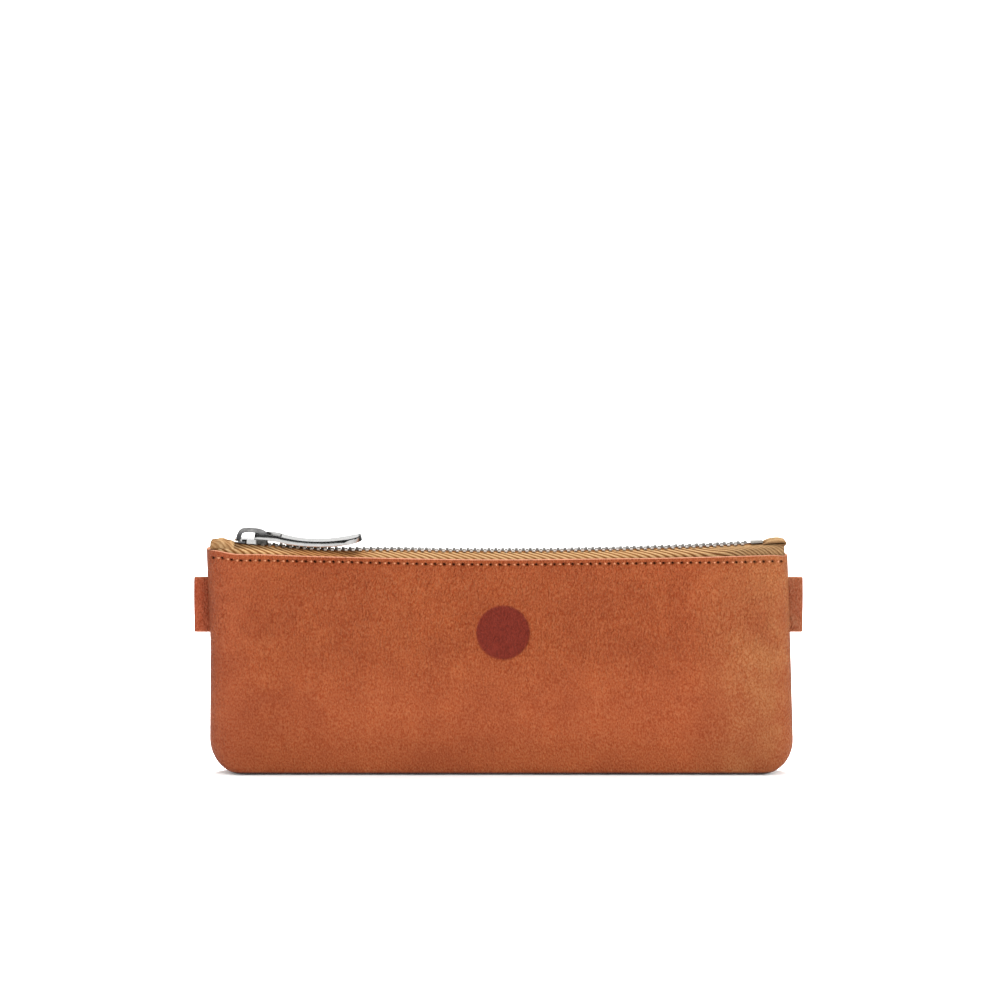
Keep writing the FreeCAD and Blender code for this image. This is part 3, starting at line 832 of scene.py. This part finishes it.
front_samples = panel_samples(disc=True)
front_grids = [panel_grid(front_samples, inner, True, FRONT_WAVES) for inner in (False, True)]
split = len(front_samples[0]) + int(np.argmin(np.abs(front_samples[1] - SPLIT_X)))
for half, columns in (("left", slice(None, split + 1)), ("right", slice(split, None))):
    panel = leather_panel("front_leather_" + half, columns, front_grids, False)
    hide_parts("front_panel")
    bend_with_zip(panel)

back_samples = panel_samples(disc=False)
back_grids = [panel_grid(back_samples, inner, False, BACK_WAVES) for inner in (False, True)]
back_leather = leather_panel("back_leather", slice(None), back_grids, True)
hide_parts("back_panel")
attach(back_leather, "case")


# Thread
def thread_run(start, end, outward, dip, steps=11, around=10):
    """One stitch of twisted thread that dives into the leather at both ends, with its painted shade and
    highlight.
    """
    along = np.linspace(0, 1, steps)
    run = end - start
    length = np.linalg.norm(run)
    run = run / length
    side = np.cross(run, outward)
    lift = THREAD_RADIUS * 0.5 - (dip + THREAD_RADIUS) * np.abs(2 * along - 1) ** 6
    middle = start + along[:, None] * (end - start) + lift[:, None] * outward
    angle = np.linspace(0, 2 * math.pi, around, endpoint=False)
    twist = 2 * angle - 5.0 * length * along[:, None]
    radius = THREAD_RADIUS * (1 + 0.14 * np.cos(twist)) * (1 - 0.25 * np.abs(2 * along - 1) ** 4)[:, None]
    rings = middle[:, None, :] + radius[..., None] * (
        1.05 * np.cos(angle)[:, None] * side + 0.85 * np.sin(angle)[:, None] * outward
    )
    # Painted shade and highlight: darker in the twist's hollows and at the start of the stitch, lit
    # toward its end
    shade = (0.75 + 0.25 * np.cos(twist)) * (0.06 + 0.94 * smooth(0.42, 0.72, along))[:, None]
    return loft(rings), np.clip(shade, 0, 1).ravel()


def thread_piece(name, runs, flip):
    piece = shaded_piece(name, runs, waxed_thread, flip)
    return piece


def top_stitches(low, high, phase):
    """Stitches below the cut edge, from one distance along the case to another."""
    def on_leather(x):
        z = stitch_line(x)
        return np.array([leaned(x, z), -front_depth(x, z, phase), z])

    runs = []
    for i in range(FIRST_STITCH, LAST_STITCH):
        x = i * STITCH_PITCH
        if low <= x < high:
            start = on_leather(x + 0.85)
            end = on_leather(x + STITCH_PITCH - 0.75)
            bend = np.array([math.copysign(1, x) * smooth(97, 106, abs(x)) * 1.2, -1.0, 0.0])
            runs.append(thread_run(start, end, bend / np.linalg.norm(bend), 0.45))
    return runs


def seam_stitches(low, high):
    """Stitches of the turned seam, on the allowance inside the case."""
    half = HALF_LENGTH - SEAM_INSET
    bend = CORNER_RADIUS - SEAM_INSET
    quarter = np.linspace(0, math.pi / 2, 9)
    arc = together(half - bend + bend * np.cos(quarter), CORNER_RADIUS - bend * np.sin(quarter))
    right = np.concatenate([[(half, EDGE_HEIGHT - 6)], arc])
    path = np.concatenate([right * [-1, 1], right[::-1]])
    stops = np.arange(0, path_length(path)[-1], STITCH_PITCH)
    places = resample(path, stops)
    runs = []
    for (x0, z0), (x1, z1) in zip(places[:-1], places[1:]):
        if low <= x0 < high:
            beside_tab = abs((z0 + z1) / 2 - TAB_Z) < TAB_HEIGHT / 2 + 1.5 and abs(x0) > half - 1
            depth = LEATHER + (TAB_SLOT if beside_tab else 0)
            start, end = np.array([x0, -depth, z0]), np.array([x1, -depth, z1])
            runs.append(thread_run(start, end, np.array([0, -1.0, 0]), 0.35, 7, 6))
    return runs


FAR = 2 * HALF_LENGTH
for half, low, high in (("left", -FAR, SPLIT_X), ("right", SPLIT_X, FAR)):
    stitches = thread_piece("front_stitches_" + half, top_stitches(low, high, FRONT_WAVES), False)
    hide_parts("front_top_stitching")
    bend_with_zip(stitches)
    seam = thread_piece("front_seam_" + half, seam_stitches(low, high), False)
    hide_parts("front_seam_stitching")
    bend_with_zip(seam)
back_stitches = thread_piece("back_stitches", top_stitches(-FAR, FAR, BACK_WAVES), True)
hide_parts("back_top_stitching")
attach(back_stitches, "case")
back_seam = thread_piece("back_seam", seam_stitches(-FAR, FAR), True)
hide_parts("back_seam_stitching")
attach(back_seam, "case")


# Zip tapes
def ribs(along, across):
    """Height from 0 to 1 of the tape's diagonal ribs."""
    gathered = RIB_GATHER * np.log1p(np.exp((along - RIB_GATHER_X) / 3)) * 3
    denser = 1 + RIB_GATHER / (1 + np.exp((RIB_GATHER_X - along) / 3))
    phase = (along + gathered - across * denser / math.tan(RIB_ANGLE)) / RIB_PITCH
    return 1 - np.abs(2 * (phase % 1) - 1) ** 1.7


def room_inside(x):
    """Depth of the leather's inner face near the ends of the mouth."""
    end = HALF_LENGTH - LEATHER + np.where(x < 0, LEFT_LEAN[-1], RIGHT_LEAN[-1])
    return rolled(end - np.abs(x), ROLL_REACH - LEATHER, INNER_WALL, RIM_DEPTH - LEATHER)


def tape_band(low, high):
    """A run of front tape from its corded edge over the leather's edge and down inside it."""
    path = rounded([(BEAD_INNER, 0), (2.2, -0.05), (3.4, -0.5), (7.1, -2.0), (7.4, -3.2), (7.4, -13.6)])
    total = path_length(path)[-1]
    cord_w = np.linspace(0, BEAD_WIDTH, 5)
    w = np.concatenate([cord_w, np.arange(1.35, 8.6, 0.26), np.linspace(9, total, 4)])
    s = np.linspace(low, high, int((high - low) / 0.42) + 1)
    line = resample(path, w)
    side = side_of(line)
    cord = np.sqrt(np.clip(1 - (2 * w / BEAD_WIDTH - 1) ** 2, 0.05, 1)) * (w < BEAD_WIDTH + 0.01)
    half = np.maximum(TAPE_HALF, BEAD_HALF * cord)
    rib = ribs(s[:, None], w) * smooth(1.1, 1.4, w) * smooth(9.4, 8.6, w)
    inner = room_inside(s) - TAPE_HALF - 0.15
    narrow = np.clip((inner - BEAD_INNER) / (line[-1, 0] - BEAD_INNER), 0.2, 1)[:, None]
    shoulder = SHOULDER_LIFT * smooth(70, 97, s)[:, None] * (smooth(2, 4.5, w) * smooth(8.4, 6.8, w))
    sag = chain_sag(s)[:, None] * smooth(8, 3, w) - shoulder
    tops = []
    for sign in (1, -1):
        lift = sign * half + (RIB_LIFT * (rib - 0.6) if sign == 1 else 0 * rib)
        reach = BEAD_INNER + (line[:, 0] - BEAD_INNER) * narrow + side[:, 0] * lift
        height = line[:, 1] + side[:, 1] * lift - sag
        flat = together(0, -reach, CHAIN_Z + height)
        tops.append(along_zip(flat, s[:, None]))
    # The ribs' height is also their painted shade, darker in the grooves
    shade = np.stack([rib, np.full(rib.shape, 0.6)])
    return shell(tops[0][:, ::-1], tops[1][:, ::-1]), shade[:, :, ::-1].ravel()


def tape_tail(side):
    """The end of a tape, folded back on top of itself, with its upper layer puffed up."""
    lower = [(-1.5, 0), (6.9, 0), (7.8, 0), (8.2, 0.37)]
    upper = [(7.8, TAIL_RISE), (6.9, TAIL_RISE), (2.0, 0.73), (0.6, 0.55), (-0.3, 0.45)]
    path = rounded(lower + upper)
    u = np.linspace(0, path_length(path)[-1], 72)
    line = resample(path, u)
    v = np.linspace(0, 1, 30)
    outer = RIGHT_TAIL_OUTER if side > 0 else LEFT_TAIL_OUTER
    reach = TAIL_INNER + (outer - TAIL_INNER) * v
    along = line[:, :1]
    layer = line[:, 1:] / TAIL_RISE
    rib = ribs(side * along * 1.4, reach * 1.4)
    edge = np.sqrt(np.clip(1 - np.abs(2 * v - 1) ** 8, 0.04, 1))
    taper = 0.25 + 0.75 * smooth(0, 2.2, u[-1] - u)
    if side > 0:
        hump = smooth(0.35, 0.7, v) * smooth(1.05, 0.8, v)
        puff = 0.95 * smooth(-1.0, 4.0, along) * (1 - 0.8 * smooth(5.6, 8.2, along)) * hump
        sunk = TAIL_SINK * smooth(0.75, 0.3, v)
        under = np.interp(reach, [2.2, 3.4, 5.5], [0.05, 0.1, 0.4]) + 0.1 + sunk
        over = 0.35 * v ** 2 + sunk
        rib = 0.25 * rib
        # Painted shade: the knob darker low down and toward its front edge
        shade = 0.46 + 0.44 * smooth(0.4, 1.7, layer * (1 + puff)) * smooth(1.1, 0.82, v)
    else:
        hump = smooth(0.25, 0.55, v) * smooth(1.0, 0.7, v)
        rumple = np.sin(along * 1.3 + 0.6 + 2 * v)
        puff = (0.65 + 0.4 * rumple) * smooth(-0.5, 4.0, along) * hump
        puff = puff * (1 - 0.7 * smooth(6.0, 8.2, along))
        under = np.interp(reach, [2.2, 3.4, 7.1], [0.05, 0.5, 2.0]) + 0.15
        over = 2.2 * v ** 3
        # Painted shade in the grooves and rumpled folds
        shade = (0.55 + 0.45 * rib) * (0.85 + 0.15 * rumple)
    rise = line[:, 1:] * puff - (1 - layer) * under - layer * over
    sheets = []
    for sign in (-1, 1):
        lift = sign * TAPE_HALF * edge * taper[:, None]
        lift = lift + (RIB_LIFT * (rib - 0.2) if sign == -1 else 0 * rib)
        distance, height = beside(line, lift)
        flat = together(side * distance, -reach, CHAIN_Z + height + rise)
        sheets.append(along_zip(flat, RIGHT_TAIL if side > 0 else LEFT_TAIL))
    shade = np.concatenate([shade.ravel(), np.full(rib.size, 0.5)])
    return shell(sheets[0], sheets[1], flip=side > 0), shade


def tape_piece(name, low, high, tails, flip):
    parts = [tape_band(low, high)] + [tape_tail(side) for side in tails]
    piece = shaded_piece(name, parts, zip_tape, flip)
    return piece


for half, low, high, side in (
    ("left", LEFT_TAPE_END, SPLIT_X, -1),
    ("right", SPLIT_X, RIGHT_TAPE_END, 1),
):
    tape = tape_piece("front_tape_" + half, low, high, [side], False)
    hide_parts("front_tape")
    bend_with_zip(tape)
back_tape = tape_piece("back_tape_cloth", LEFT_TAPE_END, RIGHT_TAPE_END, [-1, 1], True)
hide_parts("back_tape")
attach(back_tape, "case")


# Zip teeth and stops
def tooth_mesh():
    """One bevelled front tooth at mid length, clamped on the tape's corded edge."""
    head = [(-0.8, 0.5), (-0.2, 0.9), (1.1, 1.24)]
    claw = [(2.45, 1.26), (3.05, 0.92), (3.05, 0.2), (2.62, 0.2), (2.52, 0.6), (1.28, 0.6)]
    upper = head + claw
    lower = [(reach, -height) for reach, height in reversed(upper)]
    work = bmesh.new()
    near = -TOOTH_THICKNESS / 2
    corners = [work.verts.new((near, -reach, CHAIN_Z + height)) for reach, height in upper + lower]
    face = work.faces.new(corners)
    moved = bmesh.ops.extrude_face_region(work, geom=[face])["geom"]
    far = [item for item in moved if isinstance(item, bmesh.types.BMVert)]
    bmesh.ops.translate(work, verts=far, vec=(TOOTH_THICKNESS, 0, 0))
    bmesh.ops.recalc_face_normals(work, faces=work.faces)
    sharp = [edge for edge in work.edges if edge.calc_face_angle() > 1.2]
    bmesh.ops.bevel(work, geom=sharp, offset=0.16, segments=2, affect="EDGES", profile=0.5)
    points = np.array([vert.co[:] for vert in work.verts])
    work.verts.index_update()
    faces = [[vert.index for vert in face.verts] for face in work.faces]
    work.free()
    return points, faces


front_tooth = tooth_mesh()


def teeth_piece(name, distances, flip):
    points, faces = turned_round(*front_tooth) if flip else front_tooth
    row = joined([(along_zip(points - [0, 0, chain_sag(d)], d), faces) for d in distances])
    piece = add_piece(name, row, tooth_metal, 35)
    return piece


places = FIRST_TOOTH + TOOTH_PITCH * np.arange(TOOTH_COUNT)
for half, chosen in (("left", places < SPLIT_X), ("right", places >= SPLIT_X)):
    teeth = teeth_piece("front_teeth_" + half, places[chosen], False)
    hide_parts("front_teeth")
    bend_with_zip(teeth)
back_teeth = teeth_piece("back_teeth_row", places + TOOTH_PITCH / 2, True)
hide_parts("back_teeth")
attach(back_teeth, "case")


def dress(piece, material, width):
    """Give a metal piece its finish and rounded edges."""
    piece.data.materials.clear()
    piece.data.materials.append(material)
    bevel = piece.modifiers.new("rounding", "BEVEL")
    bevel.width = width * MM
    bevel.segments = 3
    bevel.limit_method = "ANGLE"
    bevel.angle_limit = math.radians(35)


top_stop = add_object("front_stop_clamp", nodes["front_top_stop"].data.copy())
dress(top_stop, top_stop_metal, 0.15)
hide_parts("front_top_stop")
bend_with_zip(top_stop)
dress(nodes["back_top_stop"], top_stop_metal, 0.15)
dress(nodes["bottom_stop"], stop_metal, 0.2)
dress(nodes["slider_body"], slider_metal, 0.18)


# Slider bridge and pull
def bridge_mesh():
    """A strap of rounded section bent over the slider's top plate."""
    rear_leg = [(-4.6, 1.7), (-4.5, 3.3), (-3.7, 4.8)]
    bar = [(-1.6, 5.25), (1.2, 5.2), (3.2, 4.95)]
    front_leg = [(4.5, 4.4), (4.6, 3.1), (4.45, 1.7)]
    path = rounded(rear_leg + bar + front_leg)
    u = np.linspace(0, path_length(path)[-1], 60)
    line = resample(path, u)
    inside = [(-1.0, -0.8), (-1.0, -1), (0, -1), (1.0, -1), (1.0, -0.8)]
    outside = [(0.8, 0.9), (0.68, 1), (0, 1), (-0.68, 1), (-0.8, 0.9)]
    section = rounded(inside + outside + inside[:1], 2)[:-1]
    x, z = beside(line, section[:, 1] * BRIDGE_STRAP / 2)
    points, faces = loft(together(x, section[:, 0] * BRIDGE_WIDTH / 2, z))
    return on_slider(points), faces


bridge = add_piece("slider_arch", bridge_mesh(), arch_metal, 50)
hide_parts("slider_bridge")
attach(bridge, "slider")


def pull_line(t):
    """Height of the pull's middle line: flat at the eye, bowed down, then up at the tip."""
    beyond = max(t - 7, 0)
    return -0.215 * beyond + 0.0092 * beyond ** 2 - 0.3 * smooth(0, 9, beyond)


def pull_half_width(t):
    waist = PULL_HALF_WIDTH - 0.4 * smooth(8, 16, t) + 0.45 * smooth(22, 36, t)
    tip = np.clip((t - (PULL_LENGTH - PULL_TIP_LENGTH)) / PULL_TIP_LENGTH, 0, 1)
    return waist * np.sqrt(1 - 0.88 * tip ** 2.2)


def pull_points(stations, lanes, crown):
    """The pull's upper and lower layer of points, by station along it and lane across it."""
    points = []
    for sign in (1, -1):
        for t in stations:
            half = PULL_THICKNESS / 2 * (0.72 if t < -0.5 else 1.0)
            bevel = 1 - 0.8 * smooth(31.2, 33.0, t)
            back = 0.7 * smooth(36.5, PULL_LENGTH, t) if sign > 0 else 0
            for lane, rise in zip(lanes, bevel * crown):
                level = half + rise if sign > 0 else -half - 0.12 * min(rise, 0)
                if sign < 0 and lane == EYE_LANE and EYE_SLOPE_START < t < EYE_END:
                    lane = EYE_SLOPE_LANE
                points.append((t - back, lane * pull_half_width(t), pull_line(t) + level))
    return np.array(points)


def pull_faces(stations, columns):
    """Faces of both layers and of the walls round the outline and the eye."""
    layer = len(stations) * columns
    eye = [i for i, t in enumerate(stations[:-1]) if EYE_START <= t < EYE_END]
    solid = np.ones((len(stations) - 1, columns - 1), bool)
    solid[eye, columns // 2 - 1] = False
    faces = []
    for i, j in np.argwhere(solid).tolist():
        a = i * columns + j
        top = [a, a + columns, a + columns + 1, a + 1]
        faces.append(top)
        faces.append([layer + k for k in reversed(top)])
        walls = [
            (a, a + 1, i == 0 or not solid[i - 1, j]),
            (a + columns + 1, a + columns, i == len(solid) - 1 or not solid[i + 1, j]),
            (a + columns, a, j == 0 or not solid[i, j - 1]),
            (a + 1, a + columns + 1, j == columns - 2 or not solid[i, j + 1]),
        ]
        faces += [[p, q, layer + q, layer + p] for p, q, open_side in walls if open_side]
    return faces


def pull_mesh():
    """A tongue with an eye, lying rolled a little to the front: a cage of two layers, then smoothed."""
    stations = np.concatenate([
        [-0.72, 0.0, EYE_START, 2.2, 3.8, 5.6, 7.4, 8.5, EYE_END, 9.8],
        np.arange(11.5, 32, 2.5),
        [33.2, 34.4, 35.4, 36.3, 37.1, 37.7, PULL_LENGTH],
    ])
    lanes = np.array([-1, -0.8, -EYE_LANE, EYE_LANE, 0.8, 1])
    crown = np.array([-1.0, 0.02, 0.1, 0.1, 0.02, -1.0])
    x, y, z = pull_points(stations, lanes, crown).T
    rolled_y = y * math.cos(PULL_ROLL) - z * math.sin(PULL_ROLL)
    rolled_z = z * math.cos(PULL_ROLL) + y * math.sin(PULL_ROLL)
    points = together(x + PULL_BAR_X, rolled_y, rolled_z + PULL_BAR_Z)
    return on_slider(points), pull_faces(stations, len(lanes))


pull = add_piece("pull_tongue", pull_mesh(), pull_metal, 180)
dress(pull, pull_metal, 0.28)
pull.modifiers.new("smoothing", "SUBSURF").levels = 2
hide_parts("pull_tab")
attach(pull, "pull")


# Side tabs
def tab_mesh(side):
    """A strip of leather folded in two, its tails caught in the side seam."""
    middle = TAB_HALF - TAB_LEATHER / 2
    tip = RIGHT_TAB_TIP if side > 0 else LEFT_TAB_TIP
    fold = np.linspace(-math.pi / 2, math.pi / 2, 13)
    bend = together(tip - TAB_HALF + TAB_HALF * np.cos(fold) * 0.9, middle * np.sin(fold))
    near = together(np.linspace(TAB_TAIL, tip - TAB_HALF, 14)[:-1], -middle)
    path = np.concatenate([near, bend, (near * [1, -1])[::-1]])
    v = np.concatenate([[0, 0.006, 0.02, 0.05], np.linspace(0.1, 0.9, 11), [0.95, 0.98, 0.994, 1]])
    rise = TAB_HEIGHT * (v - 0.5)
    edge = 0.55 + 0.45 * np.sqrt(np.clip(1 - (np.abs(2 * v - 1) ** 30), 0, 1))
    ripple = 0.048 * np.sin(rise / 3.1 + 1)
    sheets = []
    for sign in (-1, 1):
        x, y = beside(path, sign * TAB_LEATHER / 2 * edge)
        sheets.append(together(side * (x + ripple), y, TAB_Z + rise))
    raw_rows = np.concatenate([[1, 0.8, 0.1], np.zeros(len(v) - 6), [0.1, 0.8, 1]])
    raw = np.stack([np.broadcast_to(raw_rows, x.shape), np.ones(x.shape)])
    finish = together(0, raw, 0).reshape(-1, 3)
    return shell(sheets[0], sheets[1], flip=side < 0), finish


for name, node, side, leather in (
    ("left_loop", "left_tab", -1, left_tab_leather),
    ("right_loop", "right_tab", 1, right_tab_leather),
):
    tab_parts, tab_finish = tab_mesh(side)
    tab = add_piece(name, tab_parts, leather, 60, finish=tab_finish)
    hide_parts(node)
    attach(tab, "case")


# Floor, light and camera
def floor_material():
    material, tree, shader = new_material("pale_floor")
    place = add_node(tree, "TexCoord").outputs["Object"]
    tone = ramp(tree, noise(tree, place, 40.0, 2.0))
    colour = mix(tree, tone, (0.93, 0.93, 0.93), (0.95, 0.95, 0.95))
    fill(tree, shader, Base_Color=colour, Roughness=0.85, Specular_IOR_Level=0.1)
    return material


floor_mesh = bpy.data.meshes.new("floor")
floor_corners = [(-6, -6, 0), (6, -6, 0), (6, 6, 0), (-6, 6, 0)]
floor_mesh.from_pydata(floor_corners, [], [[0, 1, 2, 3]])
floor_mesh.materials.append(floor_material())
floor = add_object("floor", floor_mesh)
floor.location.z = -0.05 * MM
floor.visible_glossy = False

world = bpy.data.worlds.new("studio")
world.use_nodes = True
fill(world.node_tree, world.node_tree.nodes["Background"], Color=(1, 1, 1), Strength=1.15)
scene.world = world


def soft_box(name, place, target, size, power):
    """A soft lamp that the metal doesn't mirror."""
    light = bpy.data.lights.new(name, "AREA")
    light.shape = "RECTANGLE"
    light.size, light.size_y = size
    light.energy = power
    lamp = add_object(name, light)
    lamp.location = place
    lamp.rotation_mode = "QUATERNION"
    lamp.rotation_quaternion = (Vector(target) - Vector(place)).to_track_quat("-Z", "Y")
    lamp.visible_glossy = False


def dark_card(name, corners):
    """A black card that only reflections see, as a photographer sets beside polished metal."""
    mesh = bpy.data.meshes.new(name)
    mesh.from_pydata(corners, [], [[0, 1, 2, 3]])
    material, tree, shader = new_material(name + "_black")
    place = add_node(tree, "TexCoord").outputs["Object"]
    tone = mix(tree, noise(tree, place, 2.0, 2.0), (0.01, 0.01, 0.01), (0.03, 0.03, 0.03))
    fill(tree, shader, Base_Color=tone, Specular_IOR_Level=0.0)
    mesh.materials.append(material)
    card = add_object(name, mesh)
    card.visible_camera = False
    card.visible_diffuse = False
    card.visible_shadow = False
    card.visible_transmission = False


dark_card("front_card", [(-2, -1.8, 0.72), (2, -1.8, 0.72), (2, -0.2, 2.2), (-2, -0.2, 2.2)])
dark_card("roof_card", [(-2, -0.2, 2.2), (2, -0.2, 2.2), (2, 1.75, 1.65), (-2, 1.75, 1.65)])
dark_card("left_card", [(-0.9, -1.7, -0.8), (-2.2, -0.3, -0.8), (-2.2, -0.3, 1.5), (-0.9, -1.7, 1.5)])
dark_card("right_card", [(0.62, -1.7, -0.8), (1.6, -1.0, -0.8), (1.6, -1.0, 1.5), (0.62, -1.7, 1.5)])
soft_box("key", (0.85, -1.2, 0.36), (0.0, 0, 0.04), (0.6, 0.5), 34)
soft_box("top", (0.05, 0.45, 0.85), (0.0, 0, 0.08), (0.5, 0.35), 40)
soft_box("fill", (-0.9, -0.9, 0.45), (0, 0, 0.04), (0.6, 0.6), 7)

VIEW_ELEVATION = math.radians(4.6)
VIEW_DISTANCE = 1.5
FRAME_WIDTH = 0.3597
AIM = Vector((0.0001, 0, 0.0987))
camera_data = bpy.data.cameras.new("camera")
camera_data.lens = camera_data.sensor_width * VIEW_DISTANCE / FRAME_WIDTH
camera = add_object("camera", camera_data)
away = Vector((0, -math.cos(VIEW_ELEVATION), math.sin(VIEW_ELEVATION)))
camera.location = AIM + away * VIEW_DISTANCE
camera.rotation_mode = "QUATERNION"
camera.rotation_quaternion = (-away).to_track_quat("-Z", "Y")
scene.camera = camera
scene.view_settings.view_transform = "Standard"
